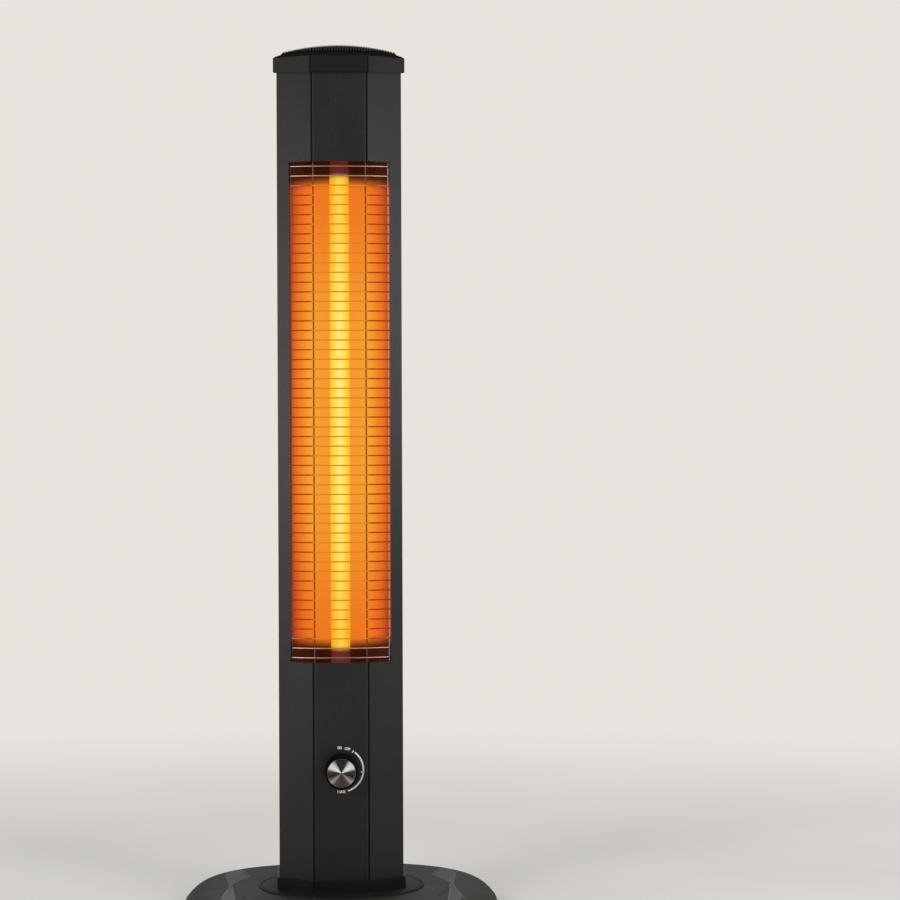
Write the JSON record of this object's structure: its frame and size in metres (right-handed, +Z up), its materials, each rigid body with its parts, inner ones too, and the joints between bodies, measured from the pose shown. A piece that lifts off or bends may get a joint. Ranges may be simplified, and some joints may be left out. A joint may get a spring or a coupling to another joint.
{
  "type": "tower heater",
  "caption": "Freestanding tower heater: faceted black column with a caged glowing tube before a curved reflector, rotary knob, ribbed vent cap and wide moulded base.",
  "frame": {"origin": "on the floor, at the middle of the base and under the column's axis", "axes": "+Z up, the window and knob face -Y, +X to the right as seen from the front"},
  "size_m": [0.365, 0.365, 1.006],
  "materials": {
    "powder_coat": "fine-textured matt black powder coat",
    "cap_plastic": "fine-textured matt black",
    "guard_wire": "bright drawn steel wire, heat-tinted",
    "reflector_sheet": "bright rolled aluminium",
    "plain_steel": "plain steel sheet",
    "quartz": "clear quartz, glowing",
    "mica": "mica board",
    "coil_wire": "resistance wire at working heat",
    "ceramic": "unglazed ceramic",
    "lead_sleeve": "silicone-sleeved lead",
    "switch_plastic": "moulded black plastic",
    "screw_steel": "zinc-plated steel",
    "knob_plastic": "satin black plastic",
    "knob_metal": "turned aluminium with fine circular lines",
    "collar_gloss": "glossy black",
    "base_plastic": "satin dark grey plastic",
    "underside_plastic": "plain black plastic",
    "foot_rubber": "soft black rubber",
    "plunger_plastic": "natural nylon",
    "dial_print": "pale grey pad-printed ink"
  },
  "bodies": {
    "heater": {"front_casing": "powder_coat", "rear_cover": "powder_coat", "top_cap": "cap_plastic", "top_grille": "cap_plastic", "guard_bars": "guard_wire", "guard_uprights": "guard_wire", "reflector": "reflector_sheet", "reflector_end_top": "plain_steel", "reflector_end_bottom": "plain_steel", "heat_shield": "plain_steel", "quartz_tube": "quartz", "mica_core": "mica", "heating_coil": "coil_wire", "tube_cap_top": "ceramic", "tube_cap_bottom": "ceramic", "thermal_cutout": "plain_steel", "terminal_block": "ceramic", "lead_wires": "lead_sleeve", "control_switch": "switch_plastic", "control_nut": "screw_steel", "cable_gland": "switch_plastic", "column_foot": "collar_gloss", "base_shell": "base_plastic", "base_plate": "underside_plastic", "ballast_plate": "plain_steel", "rubber_feet": "foot_rubber", "base_screws": "screw_steel", "foot_screws": "screw_steel", "rear_screws": "screw_steel", "tip_switch": "switch_plastic", "tip_spring": "screw_steel"},
    "knob": {"control_shaft": "screw_steel", "knob_body": "knob_plastic", "knob_face": "knob_metal"},
    "plunger": {"tip_plunger": "plunger_plastic"}
  },
  "joints": [
    {"name": "knob_turn", "type": "hinge", "parent": "heater", "child": "knob", "pos_m": [0, -0.06, 0.1726], "axis": [0, 1, 0], "range_deg": [-90, 90]},
    {"name": "plunger_slide", "type": "slide", "parent": "heater", "child": "plunger", "axis": [0, 0, 1], "range_m": [-0.004, 0.001], "stiffness_N_per_m": 200, "springref_m": -0.008, "deforming": ["tip_spring"]}
  ]
}
